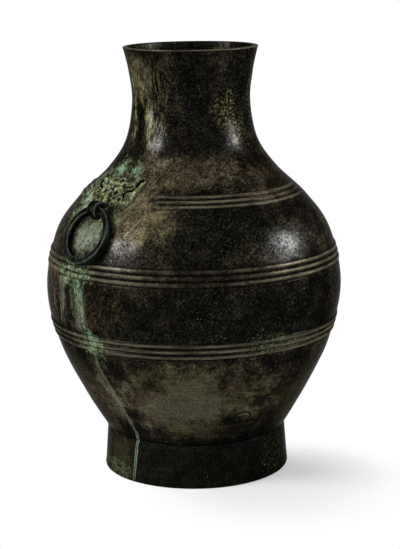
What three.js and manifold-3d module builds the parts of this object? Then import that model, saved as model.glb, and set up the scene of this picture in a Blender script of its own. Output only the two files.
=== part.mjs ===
// A cast bronze hu: a round-bellied storage vase with a flared neck, bands of raised ribs,
// a high foot ring, and two animal masks whose nose loops carry free ring handles.
// Millimetres, +Z up, the origin at the centre of the foot's underside, a mask on -X and one on +X.

import * as THREE from "three";
import { TessellateModifier } from "three/addons/modifiers/TessellateModifier.js";
import { mergeVertices } from "three/addons/utils/BufferGeometryUtils.js";
import Module from "manifold-3d";

const wasm = await Module();
wasm.setup();

// Heights above the table
const RIM_Z = 350;
const LIP_FLARE_Z = 330;
const WAIST_Z = 305;
const NAPE_Z = 275;
const NECK_ROOT_Z = 252;
const SHOULDER_Z = 228;
const UPPER_BELLY_Z = 200;
const BELLY_Z = 155;
const LOWER_BELLY_Z = 110;
const FLANK_Z = 70;
const FOOT_TOP_Z = 36;

// Outer radii at those heights
const RIM_R = 55;
const LIP_FLARE_R = 50.6;
const WAIST_R = 48.3;
const NAPE_R = 53.9;
const NECK_ROOT_R = 69.1;
const SHOULDER_R = 93.9;
const UPPER_BELLY_R = 113.1;
const BELLY_R = 122.1;
const LOWER_BELLY_R = 113;
const FLANK_R = 94.5;
const FOOT_TOP_R = 74.6;
const FOOT_BASE_R = 77.3;

// Walls
const WALL = 3;
const LIP_THICKNESS = 4.6;
const LIP_DEPTH = 9;
const FLOOR_THICKNESS = 4;
const FLOOR_SAG = 3;
const FLOOR_CORNER = 9;
const FOOT_WALL = 4.2;
const FOOT_EDGE_BEVEL = 0.8;

// Bands of raised ribs
const RIB_COUNT = 3;
const RIB_PITCH = 4.9;
const RIB_RELIEF = 1;
const RIB_CREST = 2.2;
const RIB_GROOVE = 0.2;
const RIB_SINK = 1.5;
const SHOULDER_BAND_Z = 235.8;
const BELLY_BAND_Z = 182.4;
const LOWER_BAND_Z = 124.6;
const BAND_GAP_DEG = 53;

// Mask, measured across and up the slope of the shoulder from behind its ring's eye
const MASK_LOOP_Z = 224.8;
const MASK_HALF_WIDTH = 26;
const MASK_HEIGHT = 34.3;
const MASK_LEAN = -3;
const MASK_PLATE = 1;
const HORN_CURL_R = 3;
const HORN_BAR_R = 1.9;
const HORN_TIP_R = 1;
const BROW_CURL_R = 2.7;
const TRIM_BAR_R = 1.15;
const TRIM_TIP_R = 0.7;
const EYE_R = 2.8;
const EYE_BAR_R = 0.9;
const HATCH_BAR_R = 0.5;
const NOSE_R = 3.4;

// Nose loop: a strap bent over the ring's bar, with both feet set in the mask's plate
const LOOP_WIDTH = 10;
const LOOP_THICKNESS = 3;
const LOOP_BEVEL = 1;

// Ring handle: its outer diameter and its bar's size along its radius and along its axis
const RING_OUTER_D = 49;
const RING_BAR_RADIAL = 5.3;
const RING_BAR_AXIAL = 6.2;
const RING_BAR_BEVEL = 1.3;

// Oval casting patch in the lower wall
const PATCH_AZIMUTH_DEG = -17.6;
const PATCH_Z = 61.7;
const PATCH_WIDTH = 13;
const PATCH_HEIGHT = 9;
const PATCH_DEPTH = 1.6;
const PATCH_PROUD = 0.6;

// Clearances
const SEAT_GAP = 0.3;
const RING_PLAY = 0.5;
const LOOP_PLAY = 1.1;

// Facets
const ROUND_STEPS = 56;
const FINE_STEPS = 800;
const OUTLINE_STEPS = 24;
const LINING_STEPS = 13;
const EVEN_LENGTH = 160;
const RING_STEPS = 40;
const LOOP_STEPS = 10;
const BAR_SIDES = 6;
const MASK_FACET = 6;

const BRONZE = new THREE.MeshStandardMaterial({ color: 0x3a342a, roughness: 0.45, metalness: 0.75 });
const GREEN_BRONZE = new THREE.MeshStandardMaterial({ color: 0x4d5538, roughness: 0.7, metalness: 0.4 });
const DARK_BRONZE = new THREE.MeshStandardMaterial({ color: 0x1d1f1c, roughness: 0.4, metalness: 0.8 });

// The outer outline from the foot joint to the rim, as a smooth curve of radius (x) over height (y)
const outline = new THREE.SplineCurve([
  new THREE.Vector2(FOOT_TOP_R, FOOT_TOP_Z),
  new THREE.Vector2(FLANK_R, FLANK_Z),
  new THREE.Vector2(LOWER_BELLY_R, LOWER_BELLY_Z),
  new THREE.Vector2(BELLY_R, BELLY_Z),
  new THREE.Vector2(UPPER_BELLY_R, UPPER_BELLY_Z),
  new THREE.Vector2(SHOULDER_R, SHOULDER_Z),
  new THREE.Vector2(NECK_ROOT_R, NECK_ROOT_Z),
  new THREE.Vector2(NAPE_R, NAPE_Z),
  new THREE.Vector2(WAIST_R, WAIST_Z),
  new THREE.Vector2(LIP_FLARE_R, LIP_FLARE_Z),
  new THREE.Vector2(RIM_R, RIM_Z),
]);
const fineOutline = outline.getPoints(FINE_STEPS);

// The outline's point, its outward normal and its downward tangent at a height
function outlineAt(z) {
  let i = fineOutline.findIndex((p) => p.y >= z);
  i = THREE.MathUtils.clamp(i < 0 ? FINE_STEPS : i, 1, FINE_STEPS);
  const low = fineOutline[i - 1];
  const high = fineOutline[i];
  const share = (z - low.y) / (high.y - low.y);
  const down = low.clone().sub(high).normalize();
  return { point: low.clone().lerp(high, share), normal: new THREE.Vector2(-down.y, down.x), down };
}

// A point that lies `out` along the normal from the outline
function offsetPoint(z, out) {
  const at = outlineAt(z);
  return at.point.clone().addScaledVector(at.normal, out);
}

// How far along the outline each fine point lies, counting both its length and its bending
function outlineProgress() {
  const reached = [0];
  for (let i = 1; i <= FINE_STEPS; i += 1) {
    const step = fineOutline[i].clone().sub(fineOutline[i - 1]);
    const before = fineOutline[Math.max(i - 1, 1)].clone().sub(fineOutline[Math.max(i - 2, 0)]);
    const bend = Math.abs(step.angle() - before.angle());
    reached.push(reached[i - 1] + step.length() / EVEN_LENGTH + bend);
  }
  return reached;
}

// Heights along the outline from the foot joint to the rim, closer together where it bends
function stationHeights(steps) {
  const reached = outlineProgress();
  const total = reached[FINE_STEPS];
  return Array.from({ length: steps + 1 }, (_, k) => {
    const i = reached.findIndex((value) => value >= (total * k) / steps - 1e-9);
    return fineOutline[i].y;
  });
}
const wallHeights = stationHeights(OUTLINE_STEPS);

// Closed mesh to solid, and back
function solidOf(geometry) {
  const bare = geometry.clone();
  bare.deleteAttribute("normal");
  bare.deleteAttribute("uv");
  const merged = mergeVertices(bare, 1e-4);
  return new wasm.Manifold(
    new wasm.Mesh({
      numProp: 3,
      vertProperties: Float32Array.from(merged.attributes.position.array),
      triVerts: Uint32Array.from(merged.index.array),
    }),
  );
}

function geometryOf(solid) {
  const mesh = solid.getMesh();
  const geometry = new THREE.BufferGeometry();
  geometry.setAttribute("position", new THREE.BufferAttribute(mesh.vertProperties, 3));
  geometry.setIndex(new THREE.BufferAttribute(mesh.triVerts, 1));
  geometry.computeVertexNormals();
  return geometry;
}

function joined(solids) {
  return solids.reduce((all, solid) => all.add(solid));
}

// A solid of revolution about +Z from profile points of radius (x) and height (y)
function turned(profile) {
  return solidOf(new THREE.LatheGeometry(profile, ROUND_STEPS).rotateX(Math.PI / 2));
}

// A skin over rings of points, each ring running anticlockwise about the way ahead; a closed skin has no ends
function skinned(rings, closed) {
  const sides = rings[0].length;
  const vertex = (i, j) => (i % rings.length) * sides + (j % sides);
  const index = [];
  for (let i = 0; i < (closed ? rings.length : rings.length - 1); i += 1) {
    for (let j = 0; j < sides; j += 1) {
      index.push(vertex(i, j), vertex(i, j + 1), vertex(i + 1, j + 1));
      index.push(vertex(i, j), vertex(i + 1, j + 1), vertex(i + 1, j));
    }
  }
  const last = rings.length - 1;
  for (let j = 1; j < sides - 1 && !closed; j += 1) {
    index.push(vertex(0, 0), vertex(0, j + 1), vertex(0, j));
    index.push(vertex(last, 0), vertex(last, j), vertex(last, j + 1));
  }
  const geometry = new THREE.BufferGeometry().setFromPoints(rings.flat());
  geometry.setIndex(index);
  return solidOf(geometry);
}

// A rectangle with bevelled corners, anticlockwise
function bevelledSection(width, height, bevel) {
  const x = width / 2;
  const y = height / 2;
  return [
    new THREE.Vector2(x, y - bevel),
    new THREE.Vector2(x - bevel, y),
    new THREE.Vector2(-x + bevel, y),
    new THREE.Vector2(-x, y - bevel),
    new THREE.Vector2(-x, -y + bevel),
    new THREE.Vector2(-x + bevel, -y),
    new THREE.Vector2(x - bevel, -y),
    new THREE.Vector2(x, -y + bevel),
  ];
}

// Where a band starts and ends, and how tall one of its ribs is
function bandSpan(centreZ) {
  const pitch = RIB_PITCH * Math.abs(outlineAt(centreZ).down.y);
  return { low: centreZ - (pitch * RIB_COUNT) / 2, high: centreZ + (pitch * RIB_COUNT) / 2, pitch };
}

// The raised ribs of a band with grooves between them, as profile points from the bottom up
function ribPoints(centreZ, grooveOut = -RIB_GROOVE) {
  const { low, high, pitch } = bandSpan(centreZ);
  const crest = RIB_CREST / RIB_PITCH / 2;
  const points = [];
  for (let i = 0; i < RIB_COUNT; i += 1) {
    points.push(offsetPoint(low + pitch * i, i > 0 ? grooveOut : -RIB_GROOVE));
    points.push(offsetPoint(low + pitch * (i + 0.5 - crest), RIB_RELIEF));
    points.push(offsetPoint(low + pitch * (i + 0.5 + crest), RIB_RELIEF));
  }
  return [...points, offsetPoint(high, -RIB_GROOVE)];
}

// A band on a root that is sunk into the wall, for a band that doesn't run all the way round
function bandOnRoot(centreZ) {
  const { low, high } = bandSpan(centreZ);
  const root = offsetPoint(low, -RIB_SINK);
  return turned([root, ...ribPoints(centreZ, RIB_GROOVE), offsetPoint(high, -RIB_SINK), root]);
}

// The wall's outside from the foot joint to the rim, with the two bands that run all the way round
function wallOutside() {
  const plain = (from, to) =>
    wallHeights.filter((z) => z > from + 1 && z < to - 1).map((z) => outlineAt(z).point);
  const lower = bandSpan(LOWER_BAND_Z);
  const belly = bandSpan(BELLY_BAND_Z);
  return [
    new THREE.Vector2(FOOT_TOP_R, FOOT_TOP_Z),
    ...plain(FOOT_TOP_Z, lower.low),
    ...ribPoints(LOWER_BAND_Z),
    ...plain(lower.high, belly.low),
    ...ribPoints(BELLY_BAND_Z),
    ...plain(belly.high, RIM_Z),
    new THREE.Vector2(RIM_R, RIM_Z),
  ];
}

// The wall from the foot joint to the rim, with its thickened lip and its sagging floor
function vesselWall() {
  const floorZ = FOOT_TOP_Z + FLOOR_THICKNESS;
  const lipFootZ = RIM_Z - LIP_DEPTH;
  const cornerZ = floorZ + FLOOR_CORNER;
  const lip = [
    new THREE.Vector2(RIM_R - LIP_THICKNESS, RIM_Z),
    new THREE.Vector2(outlineAt(lipFootZ).point.x - LIP_THICKNESS, lipFootZ),
  ];
  const lining = stationHeights(LINING_STEPS)
    .filter((z) => z > cornerZ + WALL && z < lipFootZ - WALL)
    .map((z) => offsetPoint(z, -WALL))
    .reverse();
  const corner = offsetPoint(cornerZ, -WALL);
  const floor = [
    corner,
    new THREE.Vector2(corner.x - FLOOR_CORNER * 0.3, floorZ + FLOOR_CORNER * 0.3),
    new THREE.Vector2(corner.x - FLOOR_CORNER, floorZ),
    new THREE.Vector2(0, floorZ - FLOOR_SAG / 2),
  ];
  const seatR = FOOT_TOP_R - FOOT_WALL - SEAT_GAP;
  const underside = [
    new THREE.Vector2(0, FOOT_TOP_Z - FLOOR_SAG),
    new THREE.Vector2(seatR / 2, FOOT_TOP_Z - FLOOR_SAG * 0.8),
    new THREE.Vector2(seatR, FOOT_TOP_Z),
  ];
  return turned([...underside, ...wallOutside(), ...lip, ...lining, ...floor]);
}

// A tall wedge that covers BAND_GAP_DEG of the wall, centred on the side of +X or -X
function maskSector(side) {
  const reach = 2 * BELLY_R;
  const half = THREE.MathUtils.degToRad(BAND_GAP_DEG / 2);
  const shape = new THREE.Shape([
    new THREE.Vector2(0, 0),
    new THREE.Vector2(reach * Math.cos(half), -reach * Math.sin(half)),
    new THREE.Vector2(reach * Math.cos(half), reach * Math.sin(half)),
  ]);
  const wedge = new THREE.ExtrudeGeometry(shape, { depth: RIM_Z, bevelEnabled: false });
  return solidOf(side > 0 ? wedge : wedge.rotateZ(Math.PI));
}

// An oval plug along the wall's normal at the patch, between two distances from the surface
function ovalPlug(grow, from, to) {
  const shape = new THREE.Shape();
  shape.absellipse(0, 0, PATCH_WIDTH / 2 + grow, PATCH_HEIGHT / 2 + grow, 0, 2 * Math.PI);
  const plug = new THREE.ExtrudeGeometry(shape, { depth: to - from, curveSegments: 10, bevelEnabled: false });
  const turn = new THREE.Matrix4().makeRotationZ(THREE.MathUtils.degToRad(PATCH_AZIMUTH_DEG - 90));
  return solidOf(plug.translate(0, 0, from).applyMatrix4(wallFrame(PATCH_Z)).applyMatrix4(turn));
}

function vesselBody() {
  const masked = joined([maskSector(1), maskSector(-1)]);
  return vesselWall()
    .add(bandOnRoot(SHOULDER_BAND_Z).subtract(masked))
    .subtract(ovalPlug(SEAT_GAP, -PATCH_DEPTH - SEAT_GAP, WALL));
}

// Foot: a plain high ring with a slight flare and a softened lower edge
function foot() {
  const flare = (FOOT_BASE_R - FOOT_TOP_R) / FOOT_TOP_Z;
  const bevelR = FOOT_BASE_R - flare * FOOT_EDGE_BEVEL;
  return turned([
    new THREE.Vector2(FOOT_BASE_R - FOOT_WALL, 0),
    new THREE.Vector2(FOOT_BASE_R - FOOT_EDGE_BEVEL, 0),
    new THREE.Vector2(bevelR, FOOT_EDGE_BEVEL),
    new THREE.Vector2(FOOT_TOP_R, FOOT_TOP_Z),
    new THREE.Vector2(FOOT_TOP_R - FOOT_WALL, FOOT_TOP_Z),
    new THREE.Vector2(FOOT_BASE_R - FOOT_WALL, 0),
  ]);
}

// A frame on the wall at +X: x across, y up the slope, z out along the wall's normal
function wallFrame(z) {
  const at = outlineAt(z);
  const across = new THREE.Vector3(0, 1, 0);
  const up = new THREE.Vector3(-at.down.x, 0, -at.down.y);
  const out = new THREE.Vector3(at.normal.x, 0, at.normal.y);
  return new THREE.Matrix4().makeBasis(across, up, out).setPosition(at.point.x, 0, at.point.y);
}
const maskFrame = wallFrame(MASK_LOOP_Z);

// The eye: the centre of the loop's hole, where the ring's bar passes and about which the ring swings
const eyeOut = SEAT_GAP + MASK_PLATE + RING_PLAY + RING_BAR_AXIAL / 2;
const eye = new THREE.Vector3(0, 0, eyeOut).applyMatrix4(maskFrame);
const loopHoleR = Math.max(RING_BAR_AXIAL, RING_BAR_RADIAL) / 2 + LOOP_PLAY;
const loopMidR = loopHoleR + LOOP_THICKNESS / 2;

// The mask is drawn flat: across (x), up the slope (y) and out (z), in shares of its half width and height
function onMask(x, y, z = 0) {
  return new THREE.Vector3(x * MASK_HALF_WIDTH, y * MASK_HEIGHT, z);
}

// Points round a curl's hollow, between two angles in degrees
function curl(x, y, radius, from, to) {
  const centre = onMask(x, y);
  return Array.from({ length: 6 }, (_, i) => {
    const angle = THREE.MathUtils.degToRad(from + ((to - from) * i) / 5);
    return centre.clone().add(new THREE.Vector3(Math.cos(angle), Math.sin(angle), 0).multiplyScalar(radius));
  });
}

// A rounded bar along points on the mask, tapering from one radius to another, half sunk in the plate
function reliefBar(points, startR, endR, lift = 0, closed = false) {
  const path = new THREE.CatmullRomCurve3(points, closed);
  const steps = closed ? points.length * 2 : (points.length - 1) * 2;
  const out = new THREE.Vector3(0, 0, 1);
  const rings = Array.from({ length: closed ? steps : steps + 1 }, (_, i) => {
    const share = i / steps;
    const centre = path.getPoint(share).setZ(SEAT_GAP + MASK_PLATE + lift * share);
    const side = out.clone().cross(path.getTangent(share)).normalize();
    const radius = startR + (endR - startR) * share;
    return Array.from({ length: BAR_SIDES }, (_, j) => {
      const angle = (2 * Math.PI * j) / BAR_SIDES;
      return centre
        .clone()
        .addScaledVector(side, radius * Math.cos(angle))
        .addScaledVector(out, radius * Math.sin(angle));
    });
  });
  return skinned(rings, closed);
}

// One half of the face: horn, forehead curl, brow, eye, cheek with its hatching, and nostril
function halfFace() {
  const horn = [
    onMask(0.07, 0.75),
    onMask(0.35, 0.775),
    onMask(0.62, 0.765),
    ...curl(0.862, 0.915, HORN_CURL_R, -125, 130),
  ];
  const forehead = [onMask(0.055, 0.66), onMask(0.05, 0.77), ...curl(0.165, 0.866, BROW_CURL_R, 180, -70)];
  const brow = [onMask(0.12, 0.63), onMask(0.31, 0.675), onMask(0.48, 0.61), onMask(0.54, 0.48)];
  const cheek = [
    onMask(0.972, 0.84),
    onMask(0.97, 0.7),
    onMask(0.955, 0.54),
    onMask(0.9, 0.37),
    onMask(0.75, 0.305),
    onMask(0.6, 0.35),
    onMask(0.63, 0.45),
  ];
  const nostril = [onMask(0.1, 0.37), onMask(0.21, 0.395), onMask(0.29, 0.34), onMask(0.22, 0.29)];
  const eyeRim = curl(0.277, 0.537, EYE_R, 0, 300);
  const hatching = [0.71, 0.78, 0.85].map((x) => [onMask(x, 0.41), onMask(x - 0.02, 0.52)]);
  return joined([
    reliefBar(horn, HORN_BAR_R, HORN_TIP_R, HORN_BAR_R / 2),
    reliefBar(forehead, TRIM_BAR_R, TRIM_TIP_R),
    reliefBar(brow, TRIM_BAR_R, TRIM_TIP_R),
    reliefBar(cheek, TRIM_BAR_R, TRIM_TIP_R),
    reliefBar(nostril, TRIM_BAR_R, TRIM_TIP_R),
    reliefBar(eyeRim, EYE_BAR_R, EYE_BAR_R, 0, true),
    ...hatching.map((stroke) => reliefBar(stroke, HATCH_BAR_R, HATCH_BAR_R)),
  ]);
}

// The nose: a ridge that widens down the face to the loop
function noseRidge() {
  const bridge = [onMask(0, 0.72), onMask(0, 0.5), onMask(0, 0.25)];
  return reliefBar(bridge, NOSE_R / 2, NOSE_R, -NOSE_R / 3);
}

// The plate's outline: curled horns at the top corners, cheeks below, and a tongue behind the loop
function plateShape() {
  const half = [
    [0.12, 1.0], [0.26, 0.98], [0.34, 0.9], [0.5, 0.885], [0.68, 0.92], [0.79, 1.01], [0.93, 1.03], [1.03, 0.95],
    [1.025, 0.8], [1.015, 0.55], [0.97, 0.35], [0.8, 0.245], [0.6, 0.25], [0.4, 0.24], [0.29, 0.17],
    [0.27, 0], [0.27, -0.17], [0.2, -0.245],
  ];
  const right = half.map(([x, y]) => onMask(x, y));
  const left = half.map(([x, y]) => onMask(-x, y)).reverse();
  const points = [onMask(0, 0.965), ...right, onMask(0, -0.25), ...left];
  const shape = new THREE.Shape();
  shape.splineThru(points.map((p) => new THREE.Vector2(p.x, p.y)));
  return shape;
}

// A block round one foot of the nose loop, larger than the foot by `gap`
function loopFoot(side, gap) {
  const width = LOOP_WIDTH + 2 * gap;
  const height = LOOP_THICKNESS + 2 * gap;
  const block = new THREE.BoxGeometry(width, height, 2 * eyeOut);
  return solidOf(block.translate(0, side * loopMidR, 0));
}

// How far the face stands to one side of its loop at a distance up the slope: all of MASK_LEAN above the nose
function leanAt(up) {
  return MASK_LEAN * THREE.MathUtils.smoothstep(up, 0.24 * MASK_HEIGHT, 0.5 * MASK_HEIGHT);
}

// Bends a flat mask onto the shoulder, keeping lengths across and up the slope
function bentToShoulder(solid) {
  const loose = geometryOf(solid).toNonIndexed();
  loose.deleteAttribute("normal");
  const fine = new TessellateModifier(MASK_FACET, 8).modify(loose);
  const slope = -outlineAt(MASK_LOOP_Z).down.y;
  const position = fine.attributes.position;
  for (let i = 0; i < position.count; i += 1) {
    const at = offsetPoint(MASK_LOOP_Z + slope * position.getY(i), position.getZ(i));
    const angle = (position.getX(i) + leanAt(position.getY(i))) / at.x;
    position.setXYZ(i, at.x * Math.cos(angle), at.x * Math.sin(angle), at.y);
  }
  return solidOf(fine);
}

// The wall's facets behind a mask, swollen by `gap`, as a solid that fills the vase there
function shoulderCore(gap) {
  const heights = wallHeights.filter((z) => z > BELLY_Z && z < WAIST_Z);
  const outside = heights.map((z) => offsetPoint(z, gap));
  const bottom = new THREE.Vector2(0, outside[0].y);
  const top = new THREE.Vector2(0, outside[outside.length - 1].y);
  return turned([bottom, ...outside, top]);
}

// Mask: plate and relief, bent to the shoulder and hollowed to sit on the wall
function mask() {
  const depth = 2 * MASK_PLATE + SEAT_GAP;
  const plate = new THREE.ExtrudeGeometry(plateShape(), { depth, curveSegments: 1, bevelEnabled: false });
  const half = halfFace();
  const other = half.mirror([1, 0, 0]);
  const flat = joined([solidOf(plate.translate(0, 0, -MASK_PLATE)), half, other, noseRidge()])
    .subtract(loopFoot(1, SEAT_GAP))
    .subtract(loopFoot(-1, SEAT_GAP));
  return bentToShoulder(flat).subtract(shoulderCore(SEAT_GAP));
}

// Nose loop: from one foot in the plate, over the ring's bar, to the other foot
function noseLoop() {
  const section = bevelledSection(LOOP_WIDTH, LOOP_THICKNESS, LOOP_BEVEL);
  const stations = [{ up: loopMidR, out: SEAT_GAP, angle: 0 }];
  for (let i = 0; i <= LOOP_STEPS; i += 1) {
    const angle = (Math.PI * i) / LOOP_STEPS;
    stations.push({ up: loopMidR * Math.cos(angle), out: eyeOut + loopMidR * Math.sin(angle), angle });
  }
  stations.push({ up: -loopMidR, out: SEAT_GAP, angle: Math.PI });
  const rings = stations.map(({ up, out, angle }) =>
    section.map((p) =>
      new THREE.Vector3(p.x, up + p.y * Math.cos(angle), out + p.y * Math.sin(angle)).applyMatrix4(maskFrame),
    ),
  );
  return skinned(rings, false);
}

// The ring's points while it hangs straight down, measured from its eye
function ringRings() {
  const middleR = (RING_OUTER_D - RING_BAR_RADIAL) / 2;
  const section = bevelledSection(RING_BAR_RADIAL, RING_BAR_AXIAL, RING_BAR_BEVEL);
  return Array.from({ length: RING_STEPS }, (_, i) => {
    const turn = (2 * Math.PI * i) / RING_STEPS;
    return section.map((p) => {
      const radius = middleR + p.x;
      return new THREE.Vector3(p.y, radius * Math.sin(turn), radius * Math.cos(turn) - middleR);
    });
  });
}

// The ring's points once it has swung outwards about its eye
function swungRings(swing) {
  return ringRings().map((ring) =>
    ring.map((p) => p.clone().applyAxisAngle(new THREE.Vector3(0, 1, 0), -swing).add(eye)),
  );
}

// The least swing from straight down at which the ring rests clear of the wall and the ribs
function hangAngle() {
  const { low, high } = bandSpan(BELLY_BAND_Z);
  const isFree = (p) => {
    const at = outlineAt(p.z);
    const needed = SEAT_GAP + (p.z > low && p.z < high ? RIB_RELIEF : 0);
    return (Math.hypot(p.x, p.y) - at.point.x) * at.normal.x >= needed;
  };
  for (let degrees = 0; degrees < 90; degrees += 0.25) {
    const swing = THREE.MathUtils.degToRad(degrees);
    const lowerPart = swungRings(swing).slice(RING_STEPS / 8, (RING_STEPS * 7) / 8);
    if (lowerPart.flat().every(isFree)) return swing;
  }
  return Math.PI / 2;
}
const restSwing = hangAngle();

const vase = new THREE.Group();

function addPiece(name, solid, material, side = 1) {
  const geometry = geometryOf(solid);
  const mesh = new THREE.Mesh(side > 0 ? geometry : geometry.rotateZ(Math.PI), material);
  mesh.name = name;
  vase.add(mesh);
}

addPiece("vessel_body", vesselBody(), BRONZE);
addPiece("foot_ring", foot(), BRONZE);
addPiece("casting_patch", ovalPlug(0, -PATCH_DEPTH, PATCH_PROUD), BRONZE);
for (const [word, side] of [["left", -1], ["right", 1]]) {
  addPiece(`mask_${word}`, mask(), GREEN_BRONZE, side);
  addPiece(`nose_loop_${word}`, noseLoop(), DARK_BRONZE, side);
  addPiece(`ring_${word}`, skinned(swungRings(restSwing), true), DARK_BRONZE, side);
}

export default vase;
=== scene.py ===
"""The bronze hu vase's looks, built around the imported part. Metres, +Z up, a mask on -X and one on +X."""

import math

import bpy
import numpy as np
from mathutils import Matrix, Vector


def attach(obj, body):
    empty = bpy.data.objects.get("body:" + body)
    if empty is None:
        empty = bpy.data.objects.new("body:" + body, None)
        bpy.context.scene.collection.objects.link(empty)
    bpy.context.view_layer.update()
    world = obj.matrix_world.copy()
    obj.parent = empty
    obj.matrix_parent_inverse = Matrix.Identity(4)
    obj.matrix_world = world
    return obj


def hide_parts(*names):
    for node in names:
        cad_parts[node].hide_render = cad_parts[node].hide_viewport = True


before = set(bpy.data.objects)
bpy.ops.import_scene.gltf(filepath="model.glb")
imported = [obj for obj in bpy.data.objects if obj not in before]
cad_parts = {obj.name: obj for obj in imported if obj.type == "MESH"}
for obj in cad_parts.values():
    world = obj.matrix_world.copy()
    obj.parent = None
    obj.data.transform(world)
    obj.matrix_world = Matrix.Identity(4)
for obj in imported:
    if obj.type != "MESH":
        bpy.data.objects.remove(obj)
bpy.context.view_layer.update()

MM = 0.001

# Sizes that the part also has, in millimetres; RING_SWING and PATCH_AZIMUTH are degrees

RIM_Z = 350.0
RIM_R = 55.0
FOOT_TOP_Z = 36.0
FOOT_TOP_R = 74.6
FOOT_BASE_R = 77.3
FOOT_WALL = 4.2
OUTLINE = [
    (74.6, 36),
    (94.5, 70),
    (113.0, 110),
    (122.1, 155),
    (113.1, 200),
    (93.9, 228),
    (69.1, 252),
    (53.9, 275),
    (48.3, 305),
    (50.6, 330),
    (55.0, 350),
]
WALL = 3.0
LIP_THICKNESS = 4.6
LIP_DEPTH = 9.0
FLOOR_Z = 40.0
RIB_PITCH = 4.9
RIB_RELIEF = 1.0
BAND_HEIGHTS = (235.8, 182.4, 124.6)
BAND_GAP = 53.0
MASK_LOOP_Z = 224.8
MASK_HALF_WIDTH = 26.0
MASK_HEIGHT = 34.3
MASK_LEAN = -3.0
MASK_PLATE = 1.0
LOOP_WIDTH = 10.0
LOOP_THICKNESS = 3.0
RING_OUTER_D = 49.0
RING_BAR_RADIAL = 5.3
RING_BAR_AXIAL = 6.2
RING_SWING = 29.0
PATCH_AZIMUTH = -17.6
PATCH_Z = 61.7
PATCH_WIDTH = 13.0
PATCH_HEIGHT = 9.0
PATCH_DEPTH = 1.6
SEAT_GAP = 0.3
RING_PLAY = 0.5
LOOP_PLAY = 1.1

# Degrees from the part's -Y direction to the direction that the photograph was taken from
PHOTO_TURN = -41.7

# Softened edges and unevenness that only the looks have, in millimetres
LIP_ROUNDING = 0.9
GROOVE_DEPTH = 0.3
BROAD_DENTS = 0.14
SMALL_DENTS = 0.05
DENT_INSET = 0.15

# How finely the shapes are drawn: points round the vase, millimetres between the wall's rows, and how far
# from a band's middle its closer rows reach; then the points of each mask, ring and the casting patch
ROUND = 480
ROW_STEP = 2.0
BAND_ROW_STEP = 0.25
LINING_ROW_STEP = 4.0
BAND_REACH = 8.6
MASK_COLUMNS = 220
MASK_ROWS = 170
RING_POINTS = 200
PATCH_POINTS = 64

TURN = np.arange(ROUND) * 2 * math.pi / ROUND


# The outline and the wall's unevenness


def outline_table(steps=80):
    """Radii and heights of the outer outline, on the same smooth curve as the part's."""
    pts = np.array(OUTLINE, float)
    rows = []
    for i in range(len(pts) - 1):
        before, start = pts[max(i - 1, 0)], pts[i]
        end, after = pts[i + 1], pts[min(i + 2, len(pts) - 1)]
        t = np.linspace(0, 1, steps, endpoint=i == len(pts) - 2)[:, None]
        v0, v1 = (end - before) / 2, (after - start) / 2
        cubic = (2 * start - 2 * end + v0 + v1) * t**3
        rows.append(cubic + (-3 * start + 3 * end - 2 * v0 - v1) * t**2 + v0 * t + start)
    return np.concatenate(rows)


TABLE = outline_table()


def radius_at(z):
    """The outline's radius at heights z."""
    return np.interp(z, TABLE[:, 1], TABLE[:, 0])


def normal_at(z):
    """The outline's outward normal at heights z, as (radial, vertical) parts."""
    slope = radius_at(np.asarray(z) + 0.5) - radius_at(np.asarray(z) - 0.5)
    size = np.sqrt(1 + slope**2)
    return 1 / size, -slope / size


def smooth(low, high, x):
    """0 up to low and 1 from high on, with a smooth step between."""
    t = np.clip((x - low) / (high - low), 0, 1)
    return t * t * (3 - 2 * t)


def waves(angle, z, count, low, high, pitch, seed):
    """Smooth random unevenness over the wall, between about -1 and 1, that closes round the vase."""
    rng = np.random.default_rng(seed)
    total = 0
    for _ in range(count):
        turns = rng.integers(low, high)
        phase = z * 2 * math.pi / rng.uniform(pitch, 2 * pitch) + rng.uniform(0, 6.3)
        total = total + rng.uniform(0.4, 1) * np.sin(turns * angle + phase)
    return total / math.sqrt(count)


# Meshes


def new_mesh(name, verts_mm, faces, material, values=None):
    """A smooth-shaded mesh; values holds named numbers, one for each vertex, for its material."""
    mesh = bpy.data.meshes.new(name)
    mesh.from_pydata([tuple(v) for v in np.asarray(verts_mm) * MM], [], faces)
    mesh.update()
    mesh.polygons.foreach_set("use_smooth", [True] * len(mesh.polygons))
    for key, numbers in (values or {}).items():
        attribute = mesh.attributes.new(key, "FLOAT", "POINT")
        attribute.data.foreach_set("value", np.asarray(numbers, np.float32).ravel())
    obj = bpy.data.objects.new(name, mesh)
    bpy.context.scene.collection.objects.link(obj)
    obj.data.materials.append(material)
    return obj


def grid_faces(rows, cols, close_rows=False, close_cols=True):
    """Four-sided faces between rows of points; close_cols joins each row's last point to its first."""
    faces = []
    for i in range(rows if close_rows else rows - 1):
        a = i * cols
        b = ((i + 1) % rows) * cols
        for j in range(cols if close_cols else cols - 1):
            k = (j + 1) % cols
            faces.append((a + j, a + k, b + k, b + j))
    return faces


def turned(name, rows, material, cap_ends=False, values=None):
    """A surface of revolution from rows of (radii, heights) round the vase, bottom to top on its outside."""
    radii = np.array([np.broadcast_to(r, ROUND) for r, _ in rows])
    heights = np.array([np.broadcast_to(z, ROUND) for _, z in rows])
    verts = np.stack([radii * np.cos(TURN), radii * np.sin(TURN), heights], -1).reshape(-1, 3)
    faces = grid_faces(len(rows), ROUND, close_rows=not cap_ends)
    if cap_ends:
        faces.append(tuple(reversed(range(ROUND))))
        faces.append(tuple(range((len(rows) - 1) * ROUND, len(rows) * ROUND)))
    return new_mesh(name, verts, faces, material, values)


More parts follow.
